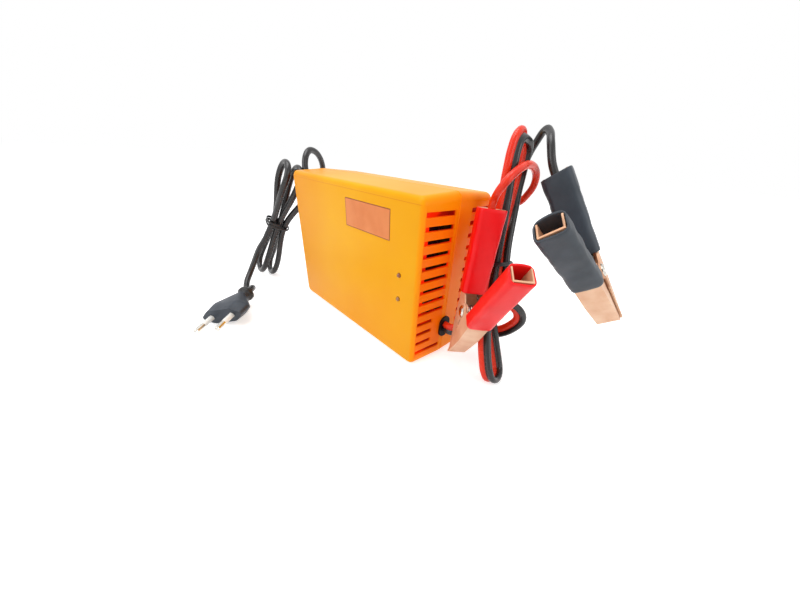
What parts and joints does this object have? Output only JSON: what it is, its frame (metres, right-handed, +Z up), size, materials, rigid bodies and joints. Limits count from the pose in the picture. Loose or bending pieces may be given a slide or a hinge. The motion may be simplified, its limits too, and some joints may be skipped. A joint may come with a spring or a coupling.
{
  "type": "car battery charger",
  "caption": "Upright plastic battery charger with slotted ends, a bundled mains lead with a flat two-pin plug and a twin output lead with two sprung clamps.",
  "frame": {"origin": "middle of the case's base, on the surface that it stands on", "axes": "+Z up, +X towards the end with the output lead, -Y towards the front face with the label and lights"},
  "size_m": [0.3231, 0.1892, 0.147],
  "materials": {
    "case_plastic": "satin",
    "screw_steel": "satin",
    "label_film": "matte",
    "red_lens": "gloss",
    "green_lens": "gloss",
    "circuit_board": "satin",
    "white_insulation": "satin",
    "ferrite": "matte",
    "black_plastic": "matte",
    "winding_tape": "satin",
    "capacitor_sleeve": "gloss",
    "heatsink_aluminium": "satin",
    "choke_copper": "satin",
    "fuse_glass": "gloss",
    "clip_brass": "satin",
    "yellow_film": "gloss",
    "blue_insulation": "satin",
    "red_insulation": "gloss",
    "black_rubber": "matte",
    "black_jacket": "satin",
    "tie_plastic": "satin",
    "plug_plastic": "satin",
    "plug_nickel": "polished",
    "pin_insulation": "satin",
    "twin_jacket": "gloss",
    "copper_plate": "satin",
    "spring_steel": "satin",
    "red_sleeve": "gloss",
    "black_sleeve": "gloss"
  },
  "bodies": {
    "root": {"front_cover": "case_plastic", "rear_cover": "case_plastic", "case_screws": "screw_steel", "label_plate": "label_film", "power_led": "red_lens", "charge_led": "green_lens", "indicator_board": "circuit_board", "indicator_wires": "white_insulation", "main_board": "circuit_board", "board_screws": "screw_steel", "transformer_core": "ferrite", "transformer_bobbin": "black_plastic", "transformer_winding": "winding_tape", "mains_capacitor": "capacitor_sleeve", "output_capacitors": "capacitor_sleeve", "switching_transistor": "black_plastic", "primary_heatsink": "heatsink_aluminium", "output_rectifier": "black_plastic", "output_heatsink": "heatsink_aluminium", "bridge_rectifier": "black_plastic", "input_choke": "choke_copper", "output_choke": "choke_copper", "fuse": "fuse_glass", "fuse_clips": "clip_brass", "control_chip": "black_plastic", "filter_capacitor": "yellow_film", "mains_inner_wires": "blue_insulation", "output_inner_wires": "red_insulation", "mains_strain_relief": "black_rubber", "output_gland": "black_rubber", "mains_lead": "black_jacket", "mains_hank": "black_jacket", "mains_tail": "black_jacket", "mains_tie": "tie_plastic", "plug_body": "plug_plastic", "plug_pins": "plug_nickel", "plug_pin_sleeves": "pin_insulation", "output_lead": "twin_jacket", "output_hank": "twin_jacket", "output_tie": "tie_plastic", "red_lead": "red_insulation", "black_lead": "black_jacket", "red_fixed_jaw": "copper_plate", "red_rivet": "plug_nickel", "red_spring": "spring_steel", "red_wire_sleeve": "red_sleeve", "black_fixed_jaw": "copper_plate", "black_rivet": "plug_nickel", "black_spring": "spring_steel", "black_wire_sleeve": "black_sleeve"},
    "red_jaw": {"red_moving_jaw": "copper_plate", "red_free_sleeve": "red_sleeve"},
    "black_jaw": {"black_moving_jaw": "copper_plate", "black_free_sleeve": "black_sleeve"}
  },
  "joints": [
    {"name": "red_clamp_hinge", "type": "hinge", "parent": "root", "child": "red_jaw", "pos_m": [0.1056, -0.011, 0.0492], "axis": [-0.6408, -0.7647, 0.0674], "range_deg": [0, 38], "stiffness_Nm_per_rad": 0.6, "springref_deg": -17.19, "deforming": ["red_spring"]},
    {"name": "black_clamp_hinge", "type": "hinge", "parent": "root", "child": "black_jaw", "pos_m": [0.1465, 0.0334, 0.0768], "axis": [-0.7832, -0.1951, -0.5903], "range_deg": [0, 38], "stiffness_Nm_per_rad": 0.6, "springref_deg": -17.19, "deforming": ["black_spring"]}
  ]
}
